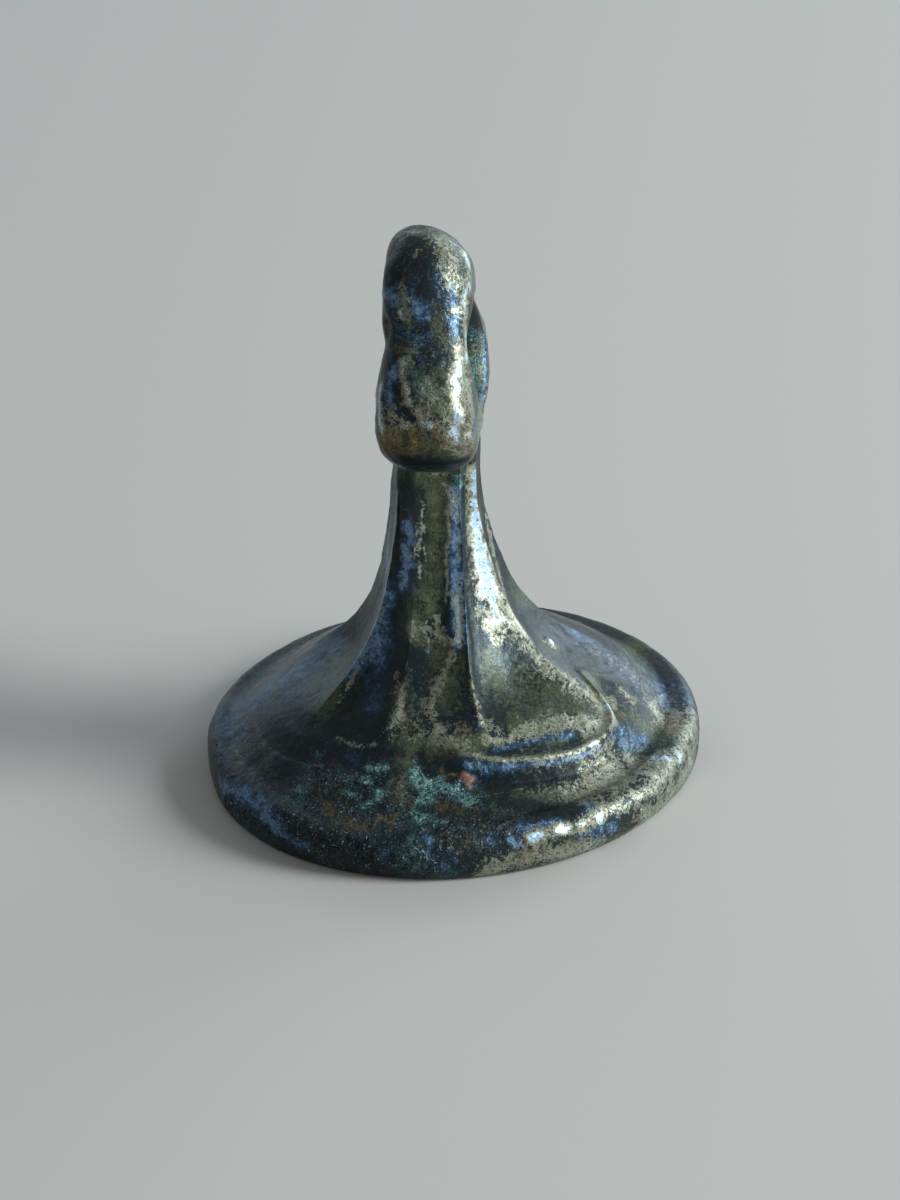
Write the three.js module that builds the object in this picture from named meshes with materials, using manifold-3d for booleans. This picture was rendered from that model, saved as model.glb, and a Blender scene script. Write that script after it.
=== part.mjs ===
// A small medieval seal matrix in copper alloy, in millimetres, with +Z up.
// The origin is the middle of the engraved face, which the matrix stands on.
// The pierced head lies in the XZ plane, so its hole runs along Y.
import * as THREE from "three";
import { mergeVertices } from "three/addons/utils/BufferGeometryUtils.js";
import Module from "manifold-3d";

const wasm = await Module();
wasm.setup();

// Driving dimensions of the die, the round plate that carries the engraved face.
// Its insets are measured in from the radius, and its heights up from the face.
const die = {
  radius: 9.3, // to the widest point of the rim
  faceInset: 0.55, // of the flat face, inside the rounded lower edge
  widestHeight: 0.8, // where the rim is widest
  rimInset: 0.95, // of the rim's crest
  rimHeight: 1.65,
  hollowInset: 1.65, // of the hollow between the rim and the shank's foot
  hollowHeight: 1.5,
  lipInset: 2.2, // where the hollow ends at the shank's foot
  lipHeight: 2,
  recessFloor: 1.25, // of the round recess that the foot is let into
};

// Driving dimensions of the shank, which flares from an eight-sided neck to a round foot.
// Its insets are measured in from the foot's edge, and its rises up from the die's lip.
const shank = {
  edgeRise: 0.1, // where the foot's edge turns in towards the bead
  slopeInset: 0.3, // of the bead's outer side
  slopeRise: 0.4,
  beadInset: 0.6, // of the bead's crest
  beadRise: 0.85,
  grooveInset: 0.75, // of the line inside the bead
  flareInset: 1, // of the flare's own foot
  flareRise: 1.35,
  neckRadius: 1.7, // over the ridges
  topRise: 10.9, // of the neck's flat top
  facets: 8,
  facetHollowShare: 0.035, // of the radius, by which a facet is dished
  fadeHeight: 2.4, // over which the facets fade into the round foot
};
// The flare's outline from foot to neck: shares of its height, and of its spread beyond the neck
const flareShares = [
  [0.0, 1.0],
  [0.07, 0.83],
  [0.13, 0.64],
  [0.2, 0.475],
  [0.3, 0.32],
  [0.42, 0.195],
  [0.56, 0.11],
  [0.72, 0.035],
  [0.86, 0.006],
  [1.0, 0.0],
];

// Driving dimensions of the head, three lobes round a suspension hole
const head = {
  holeRadius: 1.75,
  mouthRounding: 0.35, // by which the hole opens at each mouth
  mouthPower: 4, // how late in the wall it opens
  bodyRadius: 3.3, // of the disc round the hole, which the lobes stand out from
  bodyThickness: 2.95,
  bodyRise: 0.2, // of its lowest point above the neck
  topLobeRadius: 2.35,
  topLobeThickness: 3,
  topLobeRise: 2.4, // from the hole's middle to the lobe's
  sideLobeRadius: 2.35,
  sideLobeThickness: 3.5,
  sideLobeReach: 2.2,
  sideLobeRise: 0.15, // of its lowest point above the neck
  edgeRounding: 1.3, // of the edges, measured inwards
};

// The joint between head and shank: a round tang in a blind socket
const tang = {
  radius: 0.8,
  length: 2.2,
  endClearance: 0.2,
};
const sideClearance = 0.1; // round the tang, and round the foot in its recess

// Where the three pieces meet, and the hole's middle
const footRadius = die.radius - die.lipInset - sideClearance;
const neckHeight = die.lipHeight + shank.topRise;
const holeHeight = neckHeight + head.bodyRise + head.bodyRadius;

// The engraved face: a rosette and a ring of pellets, each in a ruled circle
const engraving = {
  depth: 0.4,
  border: 0.65, // from the face's edge to the outer circle
  bandWidth: 2.7, // from the outer circle to the inner one
  circleWidth: 0.36,
  petals: 8,
  petalWidth: 1.25,
  petalToCircle: 0.8, // the land left between a petal and the inner circle
  eyeToPetal: 0.25, // the land left between the eye and a petal
  eyeRadius: 0.75,
  pellets: 24,
  pelletRadius: 0.42,
};

// How finely the round surfaces are divided
const steps = {
  die: 64,
  dieCurve: 4,
  facet: 6,
  flare: 14,
  lobe: 28,
  lobeEdge: 6,
  hole: 28,
  holeDepth: 6,
  tang: 16,
  cut: 6,
};
const overrun = 0.5; // by which a cutting or joining shape passes the surface that it meets

// A closed geometry as a solid for cutting and joining
function solid(geometry) {
  const bare = geometry.clone();
  bare.deleteAttribute("normal");
  bare.deleteAttribute("uv");
  const merged = mergeVertices(bare);
  const corners = Array.from(merged.index.array);
  const triangles = [];
  for (let i = 0; i < corners.length; i += 3) {
    const triangle = corners.slice(i, i + 3);
    // At the axis a turned shape's squares have one side of no length
    if (new Set(triangle).size === 3) triangles.push(...triangle);
  }
  const vertProperties = merged.attributes.position.array;
  const triVerts = new Uint32Array(triangles);
  return new wasm.Manifold(new wasm.Mesh({ numProp: 3, vertProperties, triVerts }));
}

// A solid as a geometry
function geometryOf(made) {
  const mesh = made.getMesh();
  const geometry = new THREE.BufferGeometry();
  geometry.setAttribute("position", new THREE.BufferAttribute(mesh.vertProperties, 3));
  geometry.setIndex(new THREE.BufferAttribute(mesh.triVerts, 1));
  geometry.computeVertexNormals();
  return geometry;
}

function point(radius, height) {
  return new THREE.Vector2(radius, height);
}

// A profile of (radius, height) turned about the Z axis
function turned(profile, divisions) {
  return new THREE.LatheGeometry(profile, divisions).rotateX(Math.PI / 2);
}

// The die before it is engraved, with the recess for the shank's foot in its back
function dieBlank() {
  const rimRadius = die.radius - die.rimInset;
  const hollowRadius = die.radius - die.hollowInset;
  const recessRadius = die.radius - die.lipInset;
  const edge = new THREE.Path();
  edge.moveTo(die.radius - die.faceInset, 0);
  edge.quadraticCurveTo(die.radius, 0, die.radius, die.widestHeight);
  edge.quadraticCurveTo(die.radius, die.rimHeight, rimRadius, die.rimHeight);
  edge.quadraticCurveTo(hollowRadius, die.hollowHeight, recessRadius, die.lipHeight);
  return turned(
    [
      point(0, 0),
      ...edge.getPoints(steps.dieCurve),
      point(recessRadius, die.recessFloor),
      point(0, die.recessFloor),
    ],
    steps.die,
  );
}

// The cutter for a round-bottomed hollow in the face, at a radius and an angle
function hollowTool(length, width, radius, angle) {
  const tool = new THREE.SphereGeometry(1, 2 * steps.cut, steps.cut);
  tool.scale(length / 2, width / 2, engraving.depth);
  return tool.translate(radius, 0, 0).rotateZ(angle);
}

// The cutter for a V-shaped circle in the face
function circleTool(radius) {
  const half = engraving.circleWidth / 2;
  const mouth = half + (overrun * half) / engraving.depth;
  return turned(
    [
      point(radius - mouth, -overrun),
      point(radius + mouth, -overrun),
      point(radius, engraving.depth),
      point(radius - mouth, -overrun),
    ],
    steps.die,
  );
}

// The same hollow cut several times round the middle of the face
function hollowRing(count, length, width, radius) {
  return Array.from({ length: count }, (_, i) =>
    hollowTool(length, width, radius, (i / count) * 2 * Math.PI),
  );
}

function engravingTools() {
  const { eyeRadius, petalWidth, pelletRadius } = engraving;
  const outerCircle = die.radius - die.faceInset - engraving.border;
  const innerCircle = outerCircle - engraving.bandWidth;
  const petalStart = eyeRadius + engraving.eyeToPetal;
  const petalEnd = innerCircle - engraving.petalToCircle;
  const petalMiddle = (petalStart + petalEnd) / 2;
  const bandMiddle = (innerCircle + outerCircle) / 2;
  return [
    hollowTool(2 * eyeRadius, 2 * eyeRadius, 0, 0),
    circleTool(innerCircle),
    circleTool(outerCircle),
    ...hollowRing(engraving.petals, petalEnd - petalStart, petalWidth, petalMiddle),
    ...hollowRing(engraving.pellets, 2 * pelletRadius, 2 * pelletRadius, bandMiddle),
  ];
}

function dieGeometry() {
  const tools = engravingTools().map(solid);
  return geometryOf(tools.reduce((left, tool) => left.subtract(tool), solid(dieBlank())));
}

// The shank's outline from its bottom edge to the neck's top
function shankOutline() {
  const foot = new THREE.Path();
  foot.moveTo(footRadius, die.recessFloor);
  foot.lineTo(footRadius, die.lipHeight + shank.edgeRise);
  for (const [cornerInset, cornerRise, endInset, endRise] of [
    [shank.slopeInset, shank.edgeRise, shank.slopeInset, shank.slopeRise],
    [shank.slopeInset, shank.beadRise, shank.beadInset, shank.beadRise],
    [shank.grooveInset, shank.beadRise, shank.flareInset, shank.flareRise],
  ]) {
    const corner = point(footRadius - cornerInset, die.lipHeight + cornerRise);
    const end = point(footRadius - endInset, die.lipHeight + endRise);
    foot.quadraticCurveTo(corner.x, corner.y, end.x, end.y);
  }
  const start = foot.currentPoint;
  const rise = neckHeight - start.y;
  const spread = start.x - shank.neckRadius;
  const flare = new THREE.SplineCurve(
    flareShares.map(([heightShare, spreadShare]) =>
      point(shank.neckRadius + spreadShare * spread, start.y + heightShare * rise),
    ),
  );
  return [...foot.getPoints(steps.dieCurve), ...flare.getPoints(steps.flare).slice(1)];
}

// How far out a facet's surface stands at an angle, as a share of the ridges' radius
function facetShare(angle) {
  const half = Math.PI / shank.facets;
  const fromMiddle = angle / half - 2 * Math.round(angle / (2 * half));
  const flatShare = Math.cos(half) / Math.cos(fromMiddle * half);
  return flatShare - shank.facetHollowShare * (1 - fromMiddle ** 2);
}

// Presses a turned shape's outside into facets that fade into the round foot
function pressFacets(geometry) {
  const place = geometry.attributes.position;
  const socketRadius = tang.radius + sideClearance;
  const flareHeight = die.lipHeight + shank.flareRise;
  for (let i = 0; i < place.count; i++) {
    const x = place.getX(i);
    const y = place.getY(i);
    const above = place.getZ(i) - flareHeight;
    const insideSocket = Math.hypot(x, y) < (socketRadius + shank.neckRadius) / 2;
    if (above <= 0 || insideSocket) continue;
    const strength = THREE.MathUtils.smoothstep(above, 0, shank.fadeHeight);
    const share = THREE.MathUtils.lerp(1, facetShare(Math.atan2(y, x)), strength);
    place.setX(i, x * share);
    place.setY(i, y * share);
  }
  return geometry;
}

// The shank, with the blind socket for the head's tang in its top
function shankGeometry() {
  const socketRadius = tang.radius + sideClearance;
  const socketFloor = neckHeight - tang.length - tang.endClearance;
  const profile = [
    point(0, die.recessFloor),
    ...shankOutline(),
    point(socketRadius, neckHeight),
    point(socketRadius, socketFloor),
    point(0, socketFloor),
  ];
  return geometryOf(solid(pressFacets(turned(profile, shank.facets * steps.facet))));
}

// A disc about the Y axis with an elliptical edge, centred at (x, z)
function lobe(radius, thickness, x, z) {
  const profile = [point(0, -thickness / 2)];
  for (let i = 0; i <= steps.lobeEdge; i++) {
    const turn = (i / steps.lobeEdge - 1 / 2) * Math.PI;
    const out = radius - head.edgeRounding * (1 - Math.cos(turn));
    profile.push(point(out, (thickness / 2) * Math.sin(turn)));
  }
  profile.push(point(0, thickness / 2));
  return new THREE.LatheGeometry(profile, steps.lobe).translate(x, 0, z);
}

// The hole's cutter: a spool that widens towards both mouths
function holeTool() {
  const wall = Math.max(head.bodyThickness, head.topLobeThickness, head.sideLobeThickness);
  const mouthRadius = head.holeRadius + head.mouthRounding;
  const end = wall / 2 + overrun;
  const profile = [point(0, -end), point(mouthRadius, -end)];
  for (let i = -steps.holeDepth; i <= steps.holeDepth; i++) {
    const along = i / steps.holeDepth;
    const widening = head.mouthRounding * Math.abs(along) ** head.mouthPower;
    profile.push(point(head.holeRadius + widening, (along * wall) / 2));
  }
  profile.push(point(mouthRadius, end), point(0, end));
  return new THREE.LatheGeometry(profile, steps.hole).translate(0, 0, holeHeight);
}

// The eight-sided collar that carries the shank's facets on up to the lobes
function collar() {
  const rise = holeHeight - neckHeight;
  const radius = shank.neckRadius * (1 - shank.facetHollowShare);
  const rod = new THREE.CylinderGeometry(radius, radius, rise, shank.facets);
  rod.rotateX(Math.PI / 2).rotateZ(Math.PI / shank.facets);
  return rod.translate(0, 0, neckHeight + rise / 2);
}

function tangRod() {
  const length = tang.length + overrun;
  const rod = new THREE.CylinderGeometry(tang.radius, tang.radius, length, steps.tang);
  return rod.rotateX(Math.PI / 2).translate(0, 0, neckHeight - tang.length + length / 2);
}

function headGeometry() {
  const { sideLobeRadius, sideLobeThickness, sideLobeReach } = head;
  const sideLobeHeight = neckHeight + head.sideLobeRise + sideLobeRadius;
  const outside = [
    lobe(head.bodyRadius, head.bodyThickness, 0, holeHeight),
    lobe(head.topLobeRadius, head.topLobeThickness, 0, holeHeight + head.topLobeRise),
    lobe(sideLobeRadius, sideLobeThickness, sideLobeReach, sideLobeHeight),
    lobe(sideLobeRadius, sideLobeThickness, -sideLobeReach, sideLobeHeight),
    collar(),
  ];
  const joined = outside.map(solid).reduce((whole, form) => whole.add(form));
  return geometryOf(joined.subtract(solid(holeTool())).add(solid(tangRod())));
}

// One named piece of the matrix, in its own shade of the alloy
function piece(name, geometry, shade) {
  const mesh = new THREE.Mesh(geometry, new THREE.MeshStandardMaterial(shade));
  mesh.name = name;
  return mesh;
}

const matrix = new THREE.Group();
matrix.add(
  piece("seal_die", dieGeometry(), { color: 0x2f3a3b, roughness: 0.5, metalness: 0.85 }),
  piece("shank", shankGeometry(), { color: 0x46493e, roughness: 0.42, metalness: 0.9 }),
  piece("suspension_head", headGeometry(), { color: 0x55574a, roughness: 0.38, metalness: 0.9 }),
);

export default matrix;
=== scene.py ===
"""A small medieval seal matrix in copper alloy, standing on its engraved face.

The three visible pieces are built from formulas in millimetres, round the CAD frame's own sizes:
the die and the shank are turned skins with an outline of their own at every bearing, and the
pierced head is the skin of a smooth field. Wear and corrosion, with painted highlights, sky
reflections, glints and shade among them, are laid down twice: as amounts kept at each vertex,
and as fine noise in the materials that breaks the amounts into specks.
"""
import itertools
import math

import bpy
import numpy as np
import openvdb
from mathutils import Matrix, Vector
from mathutils.bvhtree import BVHTree


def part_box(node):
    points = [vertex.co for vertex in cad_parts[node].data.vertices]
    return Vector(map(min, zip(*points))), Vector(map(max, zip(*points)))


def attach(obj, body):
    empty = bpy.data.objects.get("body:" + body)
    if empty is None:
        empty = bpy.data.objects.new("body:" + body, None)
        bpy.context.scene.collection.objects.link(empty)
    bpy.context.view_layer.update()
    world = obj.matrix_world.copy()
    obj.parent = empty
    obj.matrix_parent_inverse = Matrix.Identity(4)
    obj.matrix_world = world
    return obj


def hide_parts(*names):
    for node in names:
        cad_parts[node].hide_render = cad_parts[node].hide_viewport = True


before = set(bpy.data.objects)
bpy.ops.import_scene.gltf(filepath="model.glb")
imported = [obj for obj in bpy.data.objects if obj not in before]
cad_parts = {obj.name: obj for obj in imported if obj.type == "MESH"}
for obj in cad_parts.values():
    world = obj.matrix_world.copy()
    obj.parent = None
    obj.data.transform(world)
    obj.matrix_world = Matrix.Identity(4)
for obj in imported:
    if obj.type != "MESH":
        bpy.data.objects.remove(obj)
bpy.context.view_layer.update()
MM = 0.001

# The camera, fitted to the photograph
PHOTO_WIDTH, PHOTO_HEIGHT = 900, 1200
FOCAL_PIXELS = 3796
SENSOR = 36
CAMERA_YAW = math.radians(96.5)
CAMERA_ELEVATION = math.radians(27.7)
CAMERA_ROLL = math.radians(3.49)
CAMERA_DISTANCE = 140
CAMERA_NEAR, CAMERA_FAR = 5, 20000
TARGET_ASIDE, TARGET_HEIGHT = 0.19, 6.49


def frame_size(node, corner, axis):
    """One coordinate of a CAD node's box, in millimetres."""
    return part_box(node)[corner][axis] / MM


LOW, HIGH = 0, 1
DIE_RADIUS = frame_size("seal_die", HIGH, 0)
RECESS_FLOOR = frame_size("shank", LOW, 2)
SEAM_GAP = 0.05  # between the CAD shank's foot and the seam
SEAM_RADIUS = frame_size("shank", HIGH, 0) + SEAM_GAP
NECK_HEIGHT = frame_size("shank", HIGH, 2)
TANG_END = frame_size("suspension_head", LOW, 2)
HEAD_TOP = frame_size("suspension_head", HIGH, 2)
HEAD_REACH = frame_size("suspension_head", HIGH, 0)

# The die's rim, as (radius, height), outside a face whose radius is given at some bearings
FACE_EDGE = ((-120, 8.5), (-85, 8.9), (-40, 8.9), (-10, 8.5), (60, 8.35), (110, 8.5))
RIM_CORNERS = ((9.2, 0.0), (9.27, 1.2), (8.95, 1.7), (8.3, 1.77))

# The die's conical back, and the depth of the hollow inside its rim at some bearings
BACK_RADII = (5.0, 5.65, 6.4, 7.05, 7.6, 8.3)
BACK_HEIGHTS = (3.2, 2.9, 2.55, 2.22, 2.0, 1.77)
BACK_SHARES = (0.15, 0.3, 0.5, 0.75, 1)  # of the way in from the rim, where its outline has corners
HOLLOW = ((-110, 0.05), (0, 0.06), (25, 0.2), (60, 0.28), (110, 0.25), (160, 0.1), (220, 0.05))
HOLLOW_RADIUS, HOLLOW_HALF = 7.8, 0.42
# The back's heights where the flare runs out over it without a step, and how fully it does so
RUNOUT_HEIGHTS = (4.18, 3.66, 3.08, 2.66, 2.32, 1.77)
RUNOUT = (
    (-150, 0.9), (-35, 0.9), (-5, 0.2), (15, 0), (66, 0), (84, 0.6), (96, 0.95), (130, 0.9), (180, 0.4),
)

# The foot's bead: where the facets end, as (bearing, radius), scalloped into four petals
BEAD = (
    (-101, 5.15), (-94, 5.6), (-86, 6.2), (-76, 6.5), (-64, 6.55), (-52.5, 6.45), (-37.5, 6.1),
    (-23.5, 5.9), (-14, 5.62), (-7, 5.33), (1, 5.5), (8.5, 5.85), (17.5, 6.25), (29.5, 6.55),
    (44, 6.85), (56, 6.95), (65, 6.85), (71, 6.4), (75, 5.7), (79, 5.2), (83, 5.45), (90, 6.0),
    (100, 6.45), (114, 6.75), (130, 6.8), (146, 6.6), (157, 6.1), (164, 5.5), (169, 5.2), (174, 5.5),
    (182, 6.1), (194, 6.5), (208, 6.75), (224, 6.75), (238, 6.5), (249, 6.0), (255, 5.5),
)
BEAD_EVENING = (-3, -1.5, 0, 1.5, 3)  # degrees to either side over which the radius is averaged
BEAD_HALF = 0.1
# The way out from the bead's crest to the foot of its slope, how far the crest stands above the
# flare, and how deep the groove behind it is, at some bearings
BEAD_DROP = ((-110, 0.9), (-60, 0.9), (-20, 0.8), (0, 0.5), (15, 0.42), (65, 0.4), (90, 0.8), (200, 0.9))
BEAD_PROUD = (
    (-150, 0), (-35, 0), (-5, 0.02), (15, 0.1), (68, 0.12), (88, 0), (130, 0), (180, -0.1),
)
GROOVE_DEPTH = (
    (-150, 0), (-35, 0), (5, 0.04), (20, 0.12), (60, 0.14), (74, 0.05), (88, 0), (180, -0.03),
)
SLOPE_TUCK = 0.08  # how far in the slope's foot is drawn
GROOVE_IN = 0.38
PLAIN_IN = 0.8  # where the plain flare starts, in from the bead

# The flare over its ridges, as (height, radius)
FLARE = (
    (2.2, 7.9), (2.75, 6.95), (3.35, 6.0), (4.02, 5.27), (4.59, 4.45), (5.26, 3.74), (6.2, 3.08),
    (7.36, 2.54), (8.7, 2.17), (10.2, 1.86), (11.56, 1.72), (12.9, 1.7),
)
NECK_RADIUS = FLARE[-1][1]
FLARE_RADII = (4.3, 3.95, 3.6, 3.3, 3.0, 2.75, 2.5, 2.32, 2.15)
NECK_HEIGHTS = (9.5, 10.3, 11.1, 11.9, 12.5)

# The ridges between the facets, as (bearing at the neck, bearing at the foot)
RIDGES = ((-46, -54), (-19, -19), (37, 17), (66, 67), (108, 113), (150, 158), (196, 203), (248, 250))
RIDGE_TURN = (4.0, 11.5)  # heights between which the ridges turn from one bearing to the other
FACET_HOLLOW_SHARE = 0.06
FACET_HOLLOW_POWER = 1.5
FACET_FADE = (3.1, 4.8)  # heights between which the facets sharpen
# How far the shank leans to the left as seen, as (height, shift), outside its socket
LEAN = ((4.0, 0.0), (6.0, -0.06), (8.5, -0.14), (11.0, -0.14), (12.9, 0.0))
LEAN_IN = 0.3  # in from the neck's ridges, where the lean is whole

# The tang under the head and its socket
TANG_RADIUS = 0.8
TANG_RISE = 1  # into the head
SOCKET_RADIUS = 0.9
SOCKET_FLOOR = TANG_END - 0.2

# The head's body and three lobes round its hole, as (x, z, radius, squareness)
HOLE_HEIGHT = 16.4
HOLE_RADIUS = 1.75
HOLE_MOUTH, HOLE_MOUTH_POWER = 0.35, 4  # how far the hole opens at its ends, and how suddenly
BODY = (0.0, HOLE_HEIGHT, 3.3, 2.4)
TOP_LOBE = (0.0, HOLE_HEIGHT + 2.39, 2.35, 2.1)
TOP_SKEW = 0.28  # how much the top lobe shrinks towards the high side
SIDE_LOBES = ((2.2, 15.4, 2.35, 2.7), (-2.2, 15.4, 2.35, 2.7))
LOBE_EDGE = 1.3  # from a lobe's rounded edge in to its flat sides
LOBE_BLEND, EDGE_BLEND = 0.35, 0.12  # the width of the fillets between lobes, and round hole and neck
# The head's two broad sides, as (height, low side, high side)
HEAD_SIDES = (
    (12.9, -1.46, 1.76), (13.5, -1.55, 1.84), (14.3, -1.7, 1.84), (15.1, -1.73, 1.8),
    (16.0, -1.65, 1.74), (16.9, -1.47, 1.58), (17.7, -1.34, 1.53), (18.5, -1.37, 1.6),
    (19.4, -1.37, 1.7), (20.2, -1.32, 1.7), (21.2, -1.3, 1.6),
)

# The engraved face
ENGRAVING_DEPTH = 0.4
PETALS = 8
PETAL_START, PETAL_END, PETAL_WIDTH = 1.0, 4.6, 1.25
VEIN_SHARE, VEIN_WIDTH_SHARE = 0.3, 0.12  # of a petal's depth and half width
EYE_RADIUS = 0.75
DART_RADIUS, DART_HALF, DART_STRETCH = 4.35, 0.36, 1.8
DART_DEPTH_SHARE = 0.7
INNER_CIRCLE, OUTER_CIRCLE, CIRCLE_WIDTH = 5.4, 8.1, 0.36
PELLETS, PELLET_RADIUS = 24, 0.42

# How finely the skins are divided
COLUMNS = 640  # points round each turned piece
OUTLINE_POINTS = 900
DIE_ROWS, SHANK_ROWS, FACE_ROWS, FLOOR_ROWS = 60, 175, 110, 8
SEAM_ROWS, TOP_ROWS, SOCKET_ROWS, SOCKET_END_ROWS = 5, 6, 8, 3
FACE_MIDDLE, FLOOR_MIDDLE, SOCKET_MIDDLE = 0.04, 0.5, 0.1  # the innermost rings' radii
VOXEL = 0.06
FIELD_MARGIN, FIELD_HALF_DEPTH = 0.3, 2.3
SHARP_ANGLE = 50
BOX_SLACK = 0.01  # room kept inside the CAD box
UNDERSIDE = 1e-6  # the height below which a point is on the engraved face


# Noise

LATTICE_SIDE, LATTICE_LAYERS = 32, 6
CUBE = (LATTICE_SIDE,) * 3
LATTICE = np.random.default_rng(11).uniform(-1, 1, (LATTICE_LAYERS, *CUBE))
JITTER = np.random.default_rng(12).uniform(0, 1, (*CUBE, 4))
OCTAVE_TURN = np.array(Matrix.Rotation(1.1, 3, Vector((1, 2, 3))))
CRATER_SHARE, CRATER_SPREAD_SHARE = 0.15, 0.45  # the least radius, and how much more it may be


def noise(points, size, layer=0):
    """Smooth noise from -1 to 1, whose bumps are about a size across."""
    p = points / size
    cell = np.floor(p).astype(int)
    share = p - cell
    share = share * share * (3 - 2 * share)
    total = np.zeros(len(points))
    for corner in itertools.product((0, 1), repeat=3):
        weight = np.prod(np.where(corner, share, 1 - share), axis=-1)
        total += weight * LATTICE[layer][tuple(((cell + corner) % LATTICE_SIDE).T)]
    return total


def fractal(points, size, octaves=3, layer=0):
    """Noise with finer noise on it."""
    total = np.zeros(len(points))
    for octave in range(octaves):
        total += noise(points, size, layer) / 2**octave
        points = points @ OCTAVE_TURN
        size = size / 2
    return total


def craters(points, size):
    """Round pits from 0 to 1 deep, one in each lattice cell of that size."""
    p = points / size
    cell = np.floor(p).astype(int)
    deepest = np.zeros(len(points))
    for corner in itertools.product((-1, 0, 1), repeat=3):
        there = cell + corner
        random = JITTER[tuple((there % LATTICE_SIDE).T)]
        distance = np.linalg.norm(p - there - random[:, :3], axis=-1)
        radius = CRATER_SHARE + CRATER_SPREAD_SHARE * random[:, 3]
        deepest = np.maximum(deepest, 1 - (distance / radius) ** 2)
    return deepest


def smooth(low, high, x):
    """0 below low, 1 above high, and smooth between them."""
    share = np.clip((x - low) / (high - low), 0, 1)
    return share * share * (3 - 2 * share)


def table(rows, x, period=None):
    """A table of (x, value), read between its rows."""
    steps, values = zip(*rows)
    return np.interp(x, steps, values, period=period)


def round_table(rows, degrees):
    """A table of (bearing, value), read all the way round."""
    return table(rows, degrees, 360)


# Outlines


def spline(corners, count):
    """Points on the quadratic B-spline of some corners, which lie along the first axis."""
    corners = np.concatenate([corners[:1], corners, corners[-1:]])
    spans = len(corners) - 2
    t = np.linspace(0, spans, count)
    i = np.minimum(t.astype(int), spans - 1)
    u = (t - i).reshape(-1, 1, 1)
    a, b, c = corners[i], corners[i + 1], corners[i + 2]
    return ((1 - u) ** 2 * a + (1 + 2 * u * (1 - u)) * b + u**2 * c) / 2


def flare_height(radius):
    """The height of the flare over its ridges at a radius."""
    heights, radii = zip(*reversed(FLARE))
    return np.interp(radius, radii, heights)


def back_height(radius, degrees):
    """The height of the die's back, with the hollow inside its rim."""
    hollow = round_table(HOLLOW, degrees) * np.exp(-(((radius - HOLLOW_RADIUS) / HOLLOW_HALF) ** 2))
    cone = np.interp(radius, BACK_RADII, BACK_HEIGHTS)
    slope = np.interp(radius, BACK_RADII, RUNOUT_HEIGHTS)
    return cone + (slope - cone) * round_table(RUNOUT, degrees) - hollow


def back_corners(bead, degrees):
    """The outline's corners from the rim over the back to the foot of the bead's slope."""
    rim_end = RIM_CORNERS[-1][0]
    slope_foot = bead + round_table(BEAD_DROP, degrees)
    corners = []
    for share in BACK_SHARES:
        radius = rim_end + (slope_foot - rim_end) * share
        corners.append((radius, back_height(radius, degrees)))
    corners.append((slope_foot - SLOPE_TUCK, back_height(slope_foot, degrees)))
    return corners


def bead_corners(bead, degrees):
    """The outline's corners over the bead and its groove to the plain flare."""
    reach = BEAD_HALF * round_table(RUNOUT, degrees)
    proud = round_table(BEAD_PROUD, degrees)
    groove = flare_height(bead - GROOVE_IN) - round_table(GROOVE_DEPTH, degrees)
    return [
        (bead + BEAD_HALF, flare_height(bead + reach) + proud),
        (bead - BEAD_HALF, flare_height(bead - reach) + proud),
        (bead - GROOVE_IN, groove),
        (bead - PLAIN_IN, flare_height(bead - PLAIN_IN)),
    ]


def outlines(bearings):
    """Each bearing's outline from the face's edge over rim and foot to the neck, as (radius, height)."""
    degrees = np.degrees(bearings)
    bead = np.mean([round_table(BEAD, degrees + shift) for shift in BEAD_EVENING], axis=0)
    level = np.ones_like(bead)
    corners = [(round_table(FACE_EDGE, degrees), 0 * level)]
    corners += [(radius * level, height * level) for radius, height in RIM_CORNERS]
    corners += back_corners(bead, degrees)
    corners += bead_corners(bead, degrees)
    corners += [(radius * level, flare_height(radius * level)) for radius in FLARE_RADII]
    corners += [(table(FLARE, height) * level, height * level) for height in NECK_HEIGHTS]
    corners.append((NECK_RADIUS * level, NECK_HEIGHT * level))
    return spline(np.moveaxis(np.array(corners), 1, 2), OUTLINE_POINTS)


def even(curve, count):
    """A curve's points, spaced evenly along its length."""
    length = np.concatenate([[0], np.cumsum(np.linalg.norm(np.diff(curve, axis=0), axis=1))])
    at = np.linspace(0, length[-1], count)
    return np.stack([np.interp(at, length, curve[:, i]) for i in range(2)], -1)


def split_outlines(bearings, outside):
    """The stretch of each outline outside or inside the seam between die and shank, spaced evenly."""
    every = outlines(bearings)
    rows = DIE_ROWS if outside else SHANK_ROWS
    found = []
    for column in range(len(bearings)):
        curve = every[:, column]
        cut = np.argmax((curve[:, 0] < SEAM_RADIUS) & (curve[:, 1] > RECESS_FLOOR))
        before, after = curve[cut - 1], curve[cut]
        share = (SEAM_RADIUS - before[0]) / (after[0] - before[0])
        at_seam = before + (after - before) * share
        kept = [*curve[:cut], at_seam] if outside else [at_seam, *curve[cut:]]
        found.append(even(np.array(kept), rows))
    return np.stack(found, 1)


def across_facet(bearings, heights):
    """How far each place lies across its facet, from -1 to 1, and half that facet's angle."""
    turn = smooth(*RIDGE_TURN, heights)
    edges = [foot + (neck - foot) * turn for neck, foot in RIDGES]
    edges.append(edges[0] + 360)
    degrees = np.degrees(bearings)
    across, half = np.zeros(turn.shape), np.ones(turn.shape)
    for low, high in itertools.pairwise(edges):
        past_low = (degrees - low) % 360
        here = past_low < high - low
        across = np.where(here, 2 * past_low / (high - low) - 1, across)
        half = np.where(here, np.radians(high - low) / 2, half)
    return across, half


def facet_share(bearings, heights):
    """How far out a facet stands at a place, as a share of the ridges' radius."""
    across, half = across_facet(bearings, heights)
    hollow = FACET_HOLLOW_SHARE * (1 - np.abs(across) ** FACET_HOLLOW_POWER)
    return np.cos(half) / np.cos(across * half) - hollow


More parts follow.
